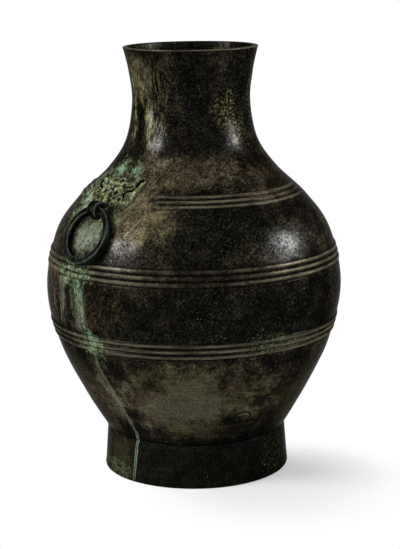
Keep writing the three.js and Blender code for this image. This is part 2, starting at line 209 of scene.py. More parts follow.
def swept(name, path, sections, up, material, closed, edges):
    """A bar: sections of (across, along up) points, one for each point of its path, and each one's share of
    wear and painted glint.
    """
    path = np.asarray(path, float)
    if closed:
        tangent = np.roll(path, -1, 0) - np.roll(path, 1, 0)
    else:
        tangent = np.gradient(path, axis=0)
    tangent /= np.linalg.norm(tangent, axis=1)[:, None]
    side = np.cross(tangent, up)
    side /= np.linalg.norm(side, axis=1)[:, None]
    over = np.cross(side, tangent)
    verts = path[:, None] + sections[:, :, :1] * side[:, None] + sections[:, :, 1:] * over[:, None]
    rows, cols = sections.shape[:2]
    faces = grid_faces(rows, cols, close_rows=closed)
    if not closed:
        faces.append(tuple(reversed(range(cols))))
        faces.append(tuple(range((rows - 1) * cols, rows * cols)))
    return new_mesh(name, verts.reshape(-1, 3), faces, material, {"raised": np.tile(edges, rows)})


def rounded_section(width, height, corner, steps):
    """A rectangle with rounded corners as (across, up) points, and how far each is on a corner."""
    points, edges = [], []
    for quarter in range(4):
        middle = math.radians(45 + 90 * quarter)
        x = math.copysign(width / 2 - corner, math.cos(middle))
        y = math.copysign(height / 2 - corner, math.sin(middle))
        for bend in np.linspace(-math.pi / 4, math.pi / 4, steps):
            points.append((x + corner * math.cos(middle + bend), y + corner * math.sin(middle + bend)))
            edges.append(math.cos(2 * bend))
    return np.array(points), np.array(edges)


def dressed(obj, body, node):
    """Moves a piece with a body, and puts it in place of one of the part's nodes."""
    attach(obj, body)
    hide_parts(node)


# Shader expressions


class Value:
    """One output socket of a material's nodes, so that shader maths reads as plain expressions."""

    def __init__(self, tree, socket):
        self.tree = tree
        self.socket = socket

    def node(self, kind, inputs=(), out=0, **settings):
        made = self.tree.nodes.new(kind)
        for key, value in settings.items():
            setattr(made, key, value)
        pairs = inputs.items() if isinstance(inputs, dict) else enumerate(inputs)
        for key, value in pairs:
            if isinstance(value, Value):
                self.tree.links.new(value.socket, made.inputs[key])
            else:
                made.inputs[key].default_value = value
        return Value(self.tree, made.outputs[out])

    def math(self, operation, *others):
        return self.node("ShaderNodeMath", (self, *others), operation=operation)

    def __add__(self, other):
        return self.math("ADD", other)

    def __mul__(self, other):
        return self.math("MULTIPLY", other)

    def __sub__(self, other):
        return self.math("SUBTRACT", other)

    def __rsub__(self, other):
        return self * -1 + other

    def __truediv__(self, other):
        return self.math("DIVIDE", other)

    def __abs__(self):
        return self.math("ABSOLUTE")

    def most(self, other):
        return self.math("MAXIMUM", other)

    def ramp(self, low, high, kind="SMOOTHSTEP"):
        """0 at low and 1 at high, held outside them; low may be above high."""
        if low > high:
            return 1 - self.ramp(high, low, kind)
        limits = {"Value": self, "From Min": low, "From Max": high}
        return self.node("ShaderNodeMapRange", limits, interpolation_type=kind)

    def spread(self, low, high, to_low, to_high):
        """A straight line from to_low at low to to_high at high, held outside them."""
        limits = {"Value": self, "From Min": low, "From Max": high, "To Min": to_low, "To Max": to_high}
        return self.node("ShaderNodeMapRange", limits)

    def times(self, other):
        """A colour multiplied by another colour, or by a number."""
        if isinstance(other, Value):
            return self.node("ShaderNodeVectorMath", {0: self, "Scale": other}, operation="SCALE")
        return self.node("ShaderNodeVectorMath", (self, other), operation="MULTIPLY")

    def times_colour(self, colour):
        """A set colour, brighter or darker by this number."""
        return self.node("ShaderNodeVectorMath", {0: colour, "Scale": self}, operation="SCALE")

    def colours(self, stops):
        """A colour from a ramp of (place, colour) stops."""
        made = self.node("ShaderNodeValToRGB", (self,))
        ramp = made.socket.node.color_ramp
        while len(ramp.elements) < len(stops):
            ramp.elements.new(0.5)
        for element, (at, colour) in zip(ramp.elements, stops):
            element.position = at
            element.color = (*colour, 1)
        return made

    def blend(self, low, high):
        """A colour between two, with this value as the share of the second."""
        inputs = {0: self}
        for key, value in ((6, low), (7, high)):
            inputs[key] = value if isinstance(value, Value) else (*value, 1)
        return self.node("ShaderNodeMix", inputs, out=2, data_type="RGBA")


def start_material(name):
    """A new material, and the place of its points in metres."""
    material = bpy.data.materials.new(name)
    material.use_nodes = True
    tree = material.node_tree
    place = Value(tree, tree.nodes.new("ShaderNodeTexCoord").outputs["Object"])
    return material, place


def noise(place, scale, detail, rough, stretch=(1, 1, 1), shift=(0, 0, 0)):
    """Cloudy noise between 0 and 1 about 0.5; scale counts its largest cells in a metre."""
    moved = place.node("ShaderNodeVectorMath", (place, stretch, shift), operation="MULTIPLY_ADD")
    inputs = {"Vector": moved, "Scale": scale, "Detail": detail, "Roughness": rough}
    return moved.node("ShaderNodeTexNoise", inputs)


def named_value(place, name):
    """A number that the mesh carries at its vertices."""
    return place.node("ShaderNodeAttribute", out=2, attribute_name=name, attribute_type="GEOMETRY")


def finish_material(material, colour, roughness, metallic, height, depth, shine=0.0):
    """The shader: old metal that stays dark at its edges, and a faint colourless shine over it."""
    shader = material.node_tree.nodes["Principled BSDF"]
    shader.inputs["Specular IOR Level"].default_value = 0.0
    shader.inputs["Specular Tint"].default_value = (0.3, 0.3, 0.3, 1)
    shader.inputs["Coat IOR"].default_value = 3.0
    shader.inputs["Coat Roughness"].default_value = 0.25
    bump = colour.node("ShaderNodeBump", {"Strength": 1.0, "Distance": depth, "Height": height})
    surface = {
        "Base Color": colour,
        "Roughness": roughness,
        "Metallic": metallic,
        "Coat Weight": shine,
        "Normal": bump,
    }
    for socket, value in surface.items():
        if isinstance(value, Value):
            material.node_tree.links.new(value.socket, shader.inputs[socket])
        else:
            shader.inputs[socket].default_value = value
    return material


# Finishes. Colours are linear.

BROWNS = [
    (0.0, (0.0012, 0.0011, 0.0007)),
    (0.2, (0.0036, 0.0031, 0.0020)),
    (0.4, (0.0140, 0.0112, 0.0062)),
    (0.6, (0.0370, 0.0290, 0.0170)),
    (0.8, (0.0640, 0.0570, 0.0360)),
    (1.0, (0.1100, 0.1000, 0.0640)),
]
NEAR_BLACK = (0.0030, 0.0028, 0.0022)
OLIVE_TINT = (0.92, 1.05, 0.80)
RED_TINT = (1.16, 0.90, 0.74)
YELLOW_GREEN = (0.2300, 0.2250, 0.0950)
PALE_CRUST_AND_SHEEN = (0.3000, 0.3200, 0.2500)
MOSS = (0.0850, 0.1150, 0.0500)
GREY_GREEN = (0.2000, 0.2600, 0.1700)
MALACHITE = (0.1600, 0.3200, 0.2100)
WORN_METAL_AND_HIGHLIGHT = (0.1350, 0.1150, 0.0740)
FLECK = (0.0720, 0.0630, 0.0400)
# Darkens the lining: painted shade inside the mouth
LINING_PAINTED_SHADE = (0.16, 0.15, 0.12)
CRACK_DULL = (0.1400, 0.1900, 0.1200)
CRACK_PALE = (0.2600, 0.3300, 0.2900)
MASK_DARK = (0.0500, 0.0540, 0.0280)
MASK_LIGHT = (0.1350, 0.1400, 0.0620)
HANDLE_DARK = (0.0022, 0.0026, 0.0024)
HANDLE_LIGHT = (0.0095, 0.0110, 0.0090)
HANDLE_WORN_AND_GLINT = (0.0950, 0.0950, 0.0800)
HANDLE_GREEN = (0.0600, 0.1000, 0.0650)

# Places on the wall: azimuth in the photograph's degrees, height, half width in degrees, half height
# and strength

# Lighter places: partly the bronze's own tone, partly painted light on the left side and the lower front, and
# a painted highlight near the left shoulder
LIGHTER_AND_PAINTED_LIGHT = [
    (-56, 326, 24, 28, 0.46),
    (-40, 290, 16, 16, 0.14),
    (-30, 262, 14, 12, 0.16),
    (34, 305, 24, 24, 0.08),
    (-10, 256, 50, 15, 0.43),
    (40, 248, 40, 16, 0.17),
    (-24, 222, 20, 20, 0.60),
    (-28, 240, 16, 12, 0.20),
    (150, 341, 16, 7, 0.45),
    (60, 215, 26, 30, 0.14),
    (-66, 205, 20, 50, 0.22),
    (-40, 150, 18, 20, 0.16),
    (-74, 158, 22, 34, 0.26),
    (-4, 76, 50, 44, 0.57),
    (54, 78, 30, 46, 0.26),
    (-54, 76, 26, 44, 0.32),
    (-76, 70, 20, 50, 0.16),
    (-60, 18, 26, 30, 0.32),
]
# Darker places: partly the bronze's own tone, partly painted shade on the right side, the right edge and the
# foot
DARKER_AND_PAINTED_SHADE = [
    (-50, 296, 7, 20, 0.50),
    (-30, 330, 10, 14, 0.20),
    (-22, 300, 14, 20, 0.16),
    (8, 312, 20, 36, 0.22),
    (50, 322, 26, 26, 0.22),
    (2, 279, 34, 10, 0.20),
    (20, 220, 24, 18, 0.32),
    (52, 212, 20, 22, 0.12),
    (6, 153, 40, 24, 0.16),
    (44, 152, 26, 28, 0.20),
    (18, 60, 6, 6, 0.5),
    (25, 56, 15, 9, 0.16),
    (45, 96, 12, 24, 0.14),
    (40, 18, 50, 30, 0.28),
    (0, 38, 70, 5, 0.16),
]
REDDER = [
    (-26, 224, 14, 14, 1.0),
    (-34, 326, 8, 12, 0.8),
    (-32, 292, 6, 14, 0.8),
    (-16, 280, 24, 14, 1.0),
    (46, 226, 24, 18, 0.8),
    (60, 258, 30, 14, 0.8),
    (-39, 149, 10, 9, 1.0),
    (-20, 252, 24, 12, 0.5),
    (0, 175, 50, 7, 0.5),
    (56, 150, 20, 26, 0.6),
    (-74, 160, 22, 30, 0.7),
]
MOSSY = [
    (-59, 256, 10, 8, 0.9),
    (-43, 256, 9, 7, 0.7),
    (-70, 242, 12, 14, 0.9),
    (-63, 226, 11, 12, 1.0),
    (-50, 212, 13, 18, 0.7),
    (-38, 230, 8, 7, 0.3),
    (-53, 180, 12, 12, 0.95),
    (-44, 124, 8, 9, 1.0),
    (32, 127, 10, 9, 0.25),
    (-60, 6, 16, 10, 0.5),
    (-68, 233, 10, 12, 1.0),
]
MALACHITES = [
    (-59, 254, 5, 5, 1.0),
    (-43, 255, 5, 5, 0.8),
    (-61, 262, 3.5, 7, 0.5),
    (-66, 228, 6, 8, 0.8),
    (-47.5, 168, 3, 12, 0.45),
    (-43.5, 131, 4, 6, 0.7),
]
# Pale crust; the first, inside the left ring, and the fifth, left of its loop, are partly a painted sheen of
# the left lamp
CRUST_AND_SHEEN = [
    (-51, 207, 13, 17, 0.5),
    (-59, 160, 3, 24, 0.3),
    (-48, 152, 4, 22, 0.25),
    (-42, 296, 4, 12, 0.35),
    (-66, 231, 7, 9, 0.6),
    (-43, 126, 5, 6, 0.35),
    (-36, 246, 5, 5, 0.35),
]
SPECKLED = [
    (33, 305, 17, 17, 0.75),
    (48, 286, 10, 12, 0.5),
    (-30, 320, 16, 22, 0.4),
    (-36, 290, 14, 14, 0.5),
    (72, 312, 7, 26, 0.5),
    (150, 341, 14, 7, 0.7),
    (60, 18, 22, 20, 0.25),
    (30, 124, 12, 12, 0.35),
]

# Rubbed smooth, so that the lamps leave a highlight
POLISHED = [
    (42, 202, 20, 18, 1.0),
    (-30, 198, 16, 18, 0.6),
    (-31, 280, 14, 20, 0.75),
    (36, 282, 12, 16, 0.4),
]

# Lines on the wall, as bends of (azimuth in the photograph's degrees, height), lowest first
CRACK = [(-42, 3), (-40.3, 31.5), (-37.7, 43.5), (-39.6, 75), (-43.5, 106), (-43.5, 120)]
SCRATCH = [(-29.8, 211), (-24.2, 224)]
WIDE_DRIP = [(-42, 120), (-47.5, 145), (-50.5, 185)]
SIDE_DRIP = [(-46, 126), (-52, 150), (-54, 185)]
THIN_DRIP = [(-59.5, 120), (-58, 185)]
NECK_STREAK = [(-38, 270), (-44, 298), (-52, 312), (-60, 335)]
NECK_EDGE_STREAK = [(-60, 262), (-68, 300), (-68, 345)]


class WallPlaces:
    """A point's place on the wall, in the photograph's degrees and millimetres, and shapes drawn there."""

    def __init__(self, place):
        parts = [place.node("ShaderNodeSeparateXYZ", (place,), out=i) for i in range(3)]
        self.height = parts[2] / MM
        self.azimuth = parts[0].math("ARCTAN2", parts[1] * -1) / math.radians(1) - PHOTO_TURN
        self.radius = (parts[0] * parts[0] + parts[1] * parts[1]).math("SQRT") / MM
        self.cloud = noise(place, 60, 3, 0.6, shift=(3, 1, 2))
        self.tatter = noise(place, 260, 4, 0.65, shift=(7, 2, 5))
        self.ragged = (self.cloud - 0.5) * 1.5 + (self.tatter - 0.5) * 1.0

    def patch(self, at, height, wide, tall, sharp):
        """A ragged oval patch, 1 in its middle and 0 outside."""
        across = (self.azimuth - at) / wide
        up = (self.height - height) / tall
        away = (across * across + up * up).math("SQRT")
        return (away + self.ragged).ramp(1.15, 1.15 - sharp)

    def away_from(self, bends, wander=0.0):
        """Millimetres from an upright line given as (azimuth, height) bends, lowest first."""
        line = self.height * 0 + bends[0][0]
        for (az0, z0), (az1, z1) in zip(bends, bends[1:]):
            line = line + self.height.ramp(z0, z1, "LINEAR") * (az1 - az0)
        strayed = self.azimuth - line + (self.cloud - 0.5) * wander
        return abs(strayed) * self.radius * math.radians(1)

    def between(self, low, high, fade=6):
        """1 between two heights, fading to 0 just outside them."""
        return self.height.ramp(low - fade, low + fade) * self.height.ramp(high + fade, high - fade)

    def sum_of(self, table, sharp):
        """A table's patches added up by their strengths."""
        total = self.height * 0
        for *where, strength in table:
            total = total + self.patch(*where, sharp) * strength
        return total

    def most_of(self, table, sharp=0.45):
        """The strongest of a table's patches at each point."""
        total = self.height * 0
        for *where, strength in table:
            total = total.most(self.patch(*where, sharp) * strength)
        return total


def brown_ground(place, wall, middle, fine, grain):
    """Bronze from near black to warm brown, lighter and darker by place with painted light and painted shade
    among them, reddish or olive in places, brushed below the belly.
    """
    # The tone by place: the bronze's own lighter and darker places, with painted light and painted shade
    # among them
    tone = wall.sum_of(LIGHTER_AND_PAINTED_LIGHT, 0.9) - wall.sum_of(DARKER_AND_PAINTED_SHADE, 0.8) + 0.19
    brushed = noise(place, 70, 5, 0.7, stretch=(0.5, 0.5, 9), shift=(1, 0, 4))
    lower = wall.height.ramp(118, 96)
    mottle = (middle - 0.5) * 1.3 + (fine - 0.5) * 1.5
    tone = tone + mottle * (1 - lower * 0.8) + (brushed - 0.5) * lower * 0.5
    colour = tone.colours(BROWNS)
    hue = noise(place, 24, 3, 0.6, shift=(9, 4, 4))
    red = wall.most_of(REDDER, 0.8) * (fine * 0.5 + middle * 0.5).ramp(0.40, 0.60)
    olive = hue.ramp(0.46, 0.60) * wall.height.spread(170, 230, 1.0, 0.4)
    colour = olive.blend(colour, colour.times(OLIVE_TINT))
    colour = red.blend(colour, colour.times(RED_TINT))
    colour = colour.times(grain.spread(0.36, 0.64, 0.2, 1.9))
    flecks = noise(place, 620, 3, 0.7, shift=(7, 7, 2)).ramp(0.56, 0.63)
    flecks = flecks * (1 - lower * 0.7) * hue.spread(0.40, 0.60, 0.2, 0.6)
    return (flecks * 0.7).blend(colour, FLECK)


def green_growth(place, wall, fine):
    """Corrosion: how much moss green, malachite, yellow green and pale crust lies on the wall; the pale crust
    is partly a painted sheen.
    """
    ground = noise(place, 150, 5, 0.7, shift=(4, 4, 9))
    upright = noise(place, 400, 4, 0.65, stretch=(1, 1, 0.12), shift=(2, 2, 6))
    broken = (ground * 0.5 + fine * 0.5).ramp(0.42, 0.56)
    wide_drip = wall.away_from(WIDE_DRIP, 5.0) / 8
    side_drip = wall.away_from(SIDE_DRIP, 4.0) / 3
    thin_drip = wall.away_from(THIN_DRIP, 2.5) / 2.5
    runs = noise(place, 330, 5, 0.7, stretch=(1, 1, 0.3), shift=(9, 2, 7)).ramp(0.46, 0.53)
    drips = wide_drip.ramp(1.0, 0.3) * wall.between(128, 182) * (broken * 0.35 + runs * 0.5)
    drips = drips.most(side_drip.ramp(1.0, 0.3) * wall.between(132, 184) * (runs * 0.4 + 0.1))
    drips = drips.most(thin_drip.ramp(1.0, 0.3) * wall.between(134, 180) * (runs * 0.45 + 0.1))
    moss = (wall.most_of(MOSSY) * broken).most(drips)
    malachite = wall.most_of(MALACHITES, 0.9) * ground.ramp(0.40, 0.60) * fine.spread(0.40, 0.60, 0.25, 1.0)
    streak = wall.away_from(NECK_STREAK, 6.0) / 6
    edge_streak = wall.away_from(NECK_EDGE_STREAK, 8.0) / 7
    yellow = streak.ramp(1.0, 0.2).most(edge_streak.ramp(1.0, 0.2) * 0.8)
    yellow = yellow * wall.between(276, 338, 12) * (upright * 0.5 + ground * 0.5).ramp(0.48, 0.57)
    yellow = yellow * fine.spread(0.40, 0.60, 0.35, 0.95)
    yellow = yellow.most(wall.most_of(SPECKLED, 0.8) * fine.ramp(0.50, 0.60) * 0.42)
    threads = noise(place, 300, 3, 0.6, stretch=(1, 1, 0.05), shift=(3, 3, 3)).ramp(0.54, 0.66)
    pale = threads * wall.patch(-68, 158, 17, 26, 0.8) * 0.5
    strokes = noise(place, 260, 4, 0.7, stretch=(1, 1, 0.3), shift=(1, 4, 4))
    pale = pale.most(wall.most_of(CRUST_AND_SHEEN, 0.9) * strokes.spread(0.38, 0.62, 0.2, 1.0))
    return moss, malachite, yellow, pale


def crack_line(wall):
    """A double pale-green line down the lower wall, where a crack weeps."""
    line = abs(wall.away_from(CRACK, 0.8) - 0.9).ramp(0.8, 0.2)
    return line * wall.between(2, 112, 3) * wall.tatter.spread(0.35, 0.6, 0.35, 1.0)


def wall_bronze():
    """The vase's own finish."""
    material, place = start_material("vase_bronze")
    wall = WallPlaces(place)
    raised = named_value(place, "raised")
    sunken = named_value(place, "sunken")
    middle = noise(place, 70, 5, 0.6, shift=(5, 5, 1))
    spots = noise(place, 520, 4, 0.7, shift=(2, 8, 3))
    smears = noise(place, 520, 4, 0.7, stretch=(1, 1, 0.3), shift=(6, 3, 1))
    upper = wall.height.ramp(262, 290) * wall.azimuth.ramp(-14, -30)
    fine = smears * upper + spots * (1 - upper)
    grain = noise(place, 1200, 3, 0.75, shift=(1, 6, 2))
    colour = brown_ground(place, wall, middle, fine, grain)
    moss, malachite, yellow, pale = green_growth(place, wall, fine)
    lining = named_value(place, "lining")
    # The lining is darkened: painted shade inside the mouth
    colour = lining.blend(colour, colour.times(LINING_PAINTED_SHADE))
    rubbed = noise(place, 110, 5, 0.7, stretch=(0.4, 0.4, 4), shift=(4, 1, 8))
    # Worn rib crests, partly a painted highlight along them
    worn = raised.ramp(0.3, 1.0) * rubbed.spread(0.36, 0.62, 0.1, 0.85)
    # Less on the middle band's front: painted shade where no lamp catches the ribs
    worn = worn * (1 - wall.patch(2, 182, 36, 14, 0.9) * 0.9)
    colour = worn.blend(colour, WORN_METAL_AND_HIGHLIGHT)
    shade = grain.spread(0.36, 0.64, 0.5, 1.5)
    colour = yellow.blend(colour, shade.times_colour(YELLOW_GREEN))
    grey_share = noise(place, 210, 4, 0.7, shift=(2, 6, 7)).ramp(0.44, 0.60) * moss.ramp(0.45, 0.95)
    growth = grey_share.blend(MOSS, GREY_GREEN)
    colour = moss.blend(colour, growth.times(shade * spots.spread(0.36, 0.62, 0.25, 1.35)))
    colour = malachite.blend(colour, shade.times_colour(MALACHITE))
    crack = crack_line(wall)
    scratch = (wall.away_from(SCRATCH) / 0.5).ramp(1.0, 0.3) * wall.between(211, 224, 1)
    weeping = wall.between(12, 42, 8).blend(CRACK_DULL, CRACK_PALE)
    colour = (crack * 0.75).blend(colour, weeping)
    # Pale crust, scratches and dots; inside the left ring and left of its loop the pale is partly a painted
    # sheen
    colour = pale.most(scratch * 0.5).blend(colour, shade.times_colour(PALE_CRUST_AND_SHEEN))
    dots = place.node("ShaderNodeTexVoronoi", {"Vector": place, "Scale": 230.0}, out=0)
    dots = dots.ramp(0.13, 0.06) * noise(place, 90, 2, 0.5, shift=(8, 8, 8)).ramp(0.56, 0.62)
    colour = (dots * 0.5).blend(colour, PALE_CRUST_AND_SHEEN)
    # A dark ring round the casting patch: partly its seam, partly a painted shadow under its raised edge
    across = (wall.azimuth - (PATCH_AZIMUTH - PHOTO_TURN)) * wall.radius
    across = across * (math.radians(1) * 2 / PATCH_WIDTH)
    up = (wall.height - PATCH_Z) * (2.1 / PATCH_HEIGHT)
    seam_and_shadow = abs((across * across + up * up).math("SQRT") - 1.14).ramp(0.28, 0.06)
    # The grooves beside the ribs are darkened too: painted shade
    colour = (seam_and_shadow * 0.92).most(sunken * 0.8).blend(colour, NEAR_BLACK)
    green = moss.most(malachite).most(yellow * 0.7).most(crack)
    roughness = (fine - 0.5) * 0.6 + (middle - 0.5) * 0.35 + green * 0.35 + lining * 0.4 + 0.25
    metallic = 0.45 - green * 0.35
    height = fine * 0.5 + grain * 0.45 + middle * 0.6 + green * wall.tatter * 0.8 + crack * 0.4
    shine = (fine * 0.6 + middle * 0.4).spread(0.42, 0.60, 0.001, 0.018) * (1 - lining * 0.9)
    shine = shine * (wall.most_of(POLISHED, 0.9) * 5 + 1)
    return finish_material(material, colour, roughness, metallic, height, 0.0005, shine)


def mask_bronze():
    """Crusted yellow green on the mask's relief, greener in spots, lighter on the relief's tops and darker
    low with painted light and shade, and near black in its hollows, partly corrosion and partly painted
    shade.
    """
    material, place = start_material("mask_bronze")
    raised = named_value(place, "raised")
    sunken = named_value(place, "sunken")
    middle = noise(place, 120, 4, 0.6)
    fine = noise(place, 520, 5, 0.75)
    colour = middle.ramp(0.42, 0.58).blend(MASK_DARK, MASK_LIGHT)
    green = noise(place, 80, 3, 0.6, shift=(5, 1, 1)).ramp(0.50, 0.60)
    colour = (green * 0.4).blend(colour, GREY_GREEN)
    colour = colour.times(fine.spread(0.40, 0.60, 0.2, 1.9))
    # Tops lighter and low places darker: painted light and painted shade
    colour = colour.times(raised.spread(0.30, 0.70, 0.20, 1.35))
    # Hollows near black: partly corrosion, partly painted shade
    colour = sunken.ramp(0.10, 0.60).blend(colour, NEAR_BLACK)
    roughness = (fine - 0.5) * 0.6 + 0.45
    return finish_material(material, colour, roughness, 0.1, middle * 0.5 + fine * 0.8, 0.0008)


def black_bronze():
    """The handles' and loops' blackened bronze, worn pale on its edges with a painted glint there, and green
    in places.
    """
    material, place = start_material("handle_bronze")
    middle = noise(place, 130, 4, 0.6)
    fine = noise(place, 800, 4, 0.7)
    colour = middle.ramp(0.42, 0.62).blend(HANDLE_DARK, HANDLE_LIGHT)
    # Pale edges: partly wear, partly a painted glint
    worn = named_value(place, "raised").ramp(0.5, 1.0) * fine.spread(0.36, 0.60, 0.05, 0.9)
    colour = worn.blend(colour, HANDLE_WORN_AND_GLINT)
    green = noise(place, 75, 3, 0.6, shift=(6, 2, 3)).ramp(0.53, 0.62) * fine.ramp(0.42, 0.60)
    colour = (green * 0.25).blend(colour, HANDLE_GREEN)
    roughness = (fine - 0.5) * 0.4 + 0.26
    return finish_material(material, colour, roughness, 0.4, middle * 0.7 + fine * 0.35, 0.0004)


WALL_BRONZE = wall_bronze()
MASK_BRONZE = mask_bronze()
HANDLE_BRONZE = black_bronze()


# The vase's wall and foot


# In pitches: from a band's middle to its outer grooves, and how wide the grooves beside its ribs are
BAND_EDGE = 1.5
GROOVE_WIDTH = 0.09

# Under 1, a rib is flatter on its top than a round one
RIB_ROUNDNESS = 0.7

# The photograph's degrees between which the shoulder band wears away
BAND_FADE = (70, 92)


def band_profile(z):
    """Which band of three ribs a height lies on, the rib's rounded height, and how deep in a groove it is."""
    for index, centre in enumerate(BAND_HEIGHTS):
        pitch = RIB_PITCH * float(normal_at(centre)[0])
        along = (z - centre) / pitch
        if abs(along) <= BAND_EDGE + 0.12:
            phase = (along + 0.5) % 1 - 0.5
            crest = max(math.cos(math.pi * phase), 0.0) ** RIB_ROUNDNESS if abs(along) < BAND_EDGE else 0.0
            groove = math.exp(-((abs(abs(along) - 1.0) - 0.5) / GROOVE_WIDTH) ** 2)
            return index, crest, groove
    return None, 0.0, 0.0


def outer_rows():
    """Rows of the wall's outside, and how raised or sunken each point is.

    The shoulder band stops beside each mask, and fades out where the photograph shows it worn away."""
    heights = list(np.arange(FOOT_TOP_Z, RIM_Z - 1.2, ROW_STEP))
    for centre in BAND_HEIGHTS:
        heights = [h for h in heights if abs(h - centre) > BAND_REACH]
        heights += list(np.arange(centre - BAND_REACH, centre + BAND_REACH + 0.01, BAND_ROW_STEP))
    from_mask = np.abs((np.degrees(TURN) + 90) % 180 - 90)
    seen_from = (np.degrees(TURN) + 90 - PHOTO_TURN + 180) % 360 - 180
    kept = 1 - smooth(*BAND_FADE, seen_from) * (seen_from < 90 - PHOTO_TURN)
    rows, raised, sunken = [], [], []
    for z in sorted(set(np.round(heights, 3))):
        index, crest, groove = band_profile(z)
        here = kept * smooth(BAND_GAP / 2, BAND_GAP / 2 + 3, from_mask) if index == 0 else np.ones(ROUND)
        wear = 0.9 + 0.1 * waves(TURN, z, 6, 3, 14, 60, 31 + (index or 0))
        ribs = (RIB_RELIEF * crest * wear - GROOVE_DEPTH * groove) * here
        broad = BROAD_DENTS * waves(TURN, z, 10, 1, 7, 70, 5)
        small = SMALL_DENTS * waves(TURN, z, 14, 8, 26, 18, 6)
        uneven = (broad + small - DENT_INSET) * (z > FOOT_TOP_Z + 2)
        radial, up = normal_at(z)
        rows.append((radius_at(z) + (ribs + uneven) * radial, z + (ribs + uneven) * up))
        raised.append(crest**2 * wear * here)
        sunken.append(groove * here)
    return rows, raised, sunken


def lip_rows():
    """The lip from its rounded outer edge, over its flat top, to its inner edge."""
    inner_r = RIM_R - LIP_THICKNESS
    points = []
    for bend in np.linspace(0, math.pi / 2, 6):
        across, up = LIP_ROUNDING * math.cos(bend), LIP_ROUNDING * math.sin(bend)
        points.append((RIM_R - LIP_ROUNDING + across, RIM_Z - LIP_ROUNDING + up))
    points.append((RIM_R - LIP_THICKNESS / 2, RIM_Z))
    for bend in np.linspace(0, math.pi / 2, 5):
        across, up = LIP_ROUNDING * math.sin(bend), LIP_ROUNDING * math.cos(bend)
        points.append((inner_r + LIP_ROUNDING - across, RIM_Z - LIP_ROUNDING + up))
    return points


# How worn each of the lip's rows is, from its outer edge to its inner edge
LIP_WEAR = (0.3, 0.9, 1.5, 1.5, 1.0, 0.3, 0.1, 0.1, 0.2, 0.2, 0.1, 0.0)


def inner_rows():
    """The lining from under the lip down to the floor."""
    lip_foot = RIM_Z - LIP_DEPTH
    points = [(float(radius_at(lip_foot)) - LIP_THICKNESS, lip_foot)]
    for z in np.arange(lip_foot - 4, FLOOR_Z + 8, -LINING_ROW_STEP):
        radial, up = normal_at(z)
        points.append((float(radius_at(z) - WALL * radial), float(z - WALL * up)))
    return points + [(75.0, 43.2), (70.0, 40.3), (40.0, 39.3), (4.0, 38.6)]


def vessel_wall():
    """The body's closed shell: its underside in the foot, its outside, its lip and its lining."""
    under = [(4.0, 33.0), (35.0, 33.6), (70.1, FOOT_TOP_Z)]
    outside, raised, sunken = outer_rows()
    lip, lining = lip_rows(), inner_rows()
    rows = under + outside + lip + lining
    plain = [np.zeros(ROUND)]
    edge = [np.full(ROUND, share) for share in LIP_WEAR]
    values = {
        "raised": plain * len(under) + raised + edge + plain * len(lining),
        "sunken": plain * len(under) + sunken + plain * (len(lip) + len(lining)),
        "lining": plain * (len(under) + len(outside) + len(lip)) + [np.ones(ROUND)] * len(lining),
    }
    return turned("wall", rows, WALL_BRONZE, cap_ends=True, values=values)


def foot():
    """The foot ring, with a softened lower edge and a slight flare."""
    flare = (FOOT_BASE_R - FOOT_TOP_R) / FOOT_TOP_Z
    points = [(FOOT_BASE_R - FOOT_WALL, 0.0), (FOOT_BASE_R - 1.2, 0.0), (FOOT_BASE_R - 0.3, 0.4)]
    points += [(FOOT_BASE_R - flare * z, z) for z in (1.2, *np.arange(3, FOOT_TOP_Z - 1, ROW_STEP))]
    points += [(FOOT_TOP_R - 0.1, FOOT_TOP_Z - 0.5), (FOOT_TOP_R - 0.5, FOOT_TOP_Z)]
    points += [(FOOT_TOP_R - FOOT_WALL, FOOT_TOP_Z)]
    points += [(FOOT_BASE_R - FOOT_WALL - flare * z, z) for z in np.arange(33, 2, -6.0)]
    uneven = BROAD_DENTS * waves(TURN, 0, 8, 1, 8, 50, 9) - BROAD_DENTS
    outside = [smooth(0, 6, z) * (r > FOOT_TOP_R - 0.6) * (z < FOOT_TOP_Z) for r, z in points]
    rows = [(r + uneven * share, z) for (r, z), share in zip(points, outside)]
    return turned("foot", rows, WALL_BRONZE)


dressed(vessel_wall(), "vessel", "vessel_body")
dressed(foot(), "vessel", "foot_ring")


# Masks


def on_shoulder(across, up, out):
    """Points `out` from the shoulder, across and up the slope from the loop, on the +X side."""
    z = MASK_LOOP_Z + normal_at(MASK_LOOP_Z)[0] * np.asarray(up)
    radial, tilt = normal_at(z)
    r = radius_at(z) + out * radial
    lean = MASK_LEAN * smooth(0.24 * MASK_HEIGHT, 0.5 * MASK_HEIGHT, up)
    angle = (across + lean) / r
    return np.stack([r * np.cos(angle), r * np.sin(angle), z + out * tilt], -1)


def turned_to(side, points):
    """Points of the +X side, or with side -1 the same points turned half round to the -X side."""
    return np.asarray(points) * np.array([side, side, 1])


def bar(x, y, points, start, end):
    """The height of a rounded bar along a chain of points, tapering from one radius to another."""
    lengths = [math.dist(a, b) for a, b in zip(points, points[1:])]
    height = np.zeros_like(x)
    gone = 0.0
    for (x0, y0), (x1, y1), length in zip(points, points[1:], lengths):
        t = np.clip(((x - x0) * (x1 - x0) + (y - y0) * (y1 - y0)) / length**2, 0, 1)
        away = np.hypot(x - x0 - t * (x1 - x0), y - y0 - t * (y1 - y0))
        radius = start + (end - start) * (gone + t * length) / sum(lengths)
        height = np.maximum(height, np.sqrt(np.clip(radius**2 - away**2, 0, None)))
        gone += length
    return height


def curl(x, y, radius, start, end):
    """Points round a curl's hollow, between two angles in degrees."""
    angles = np.radians(np.linspace(start, end, 9))
    return [(x + radius * math.cos(a), y + radius * math.sin(a)) for a in angles]


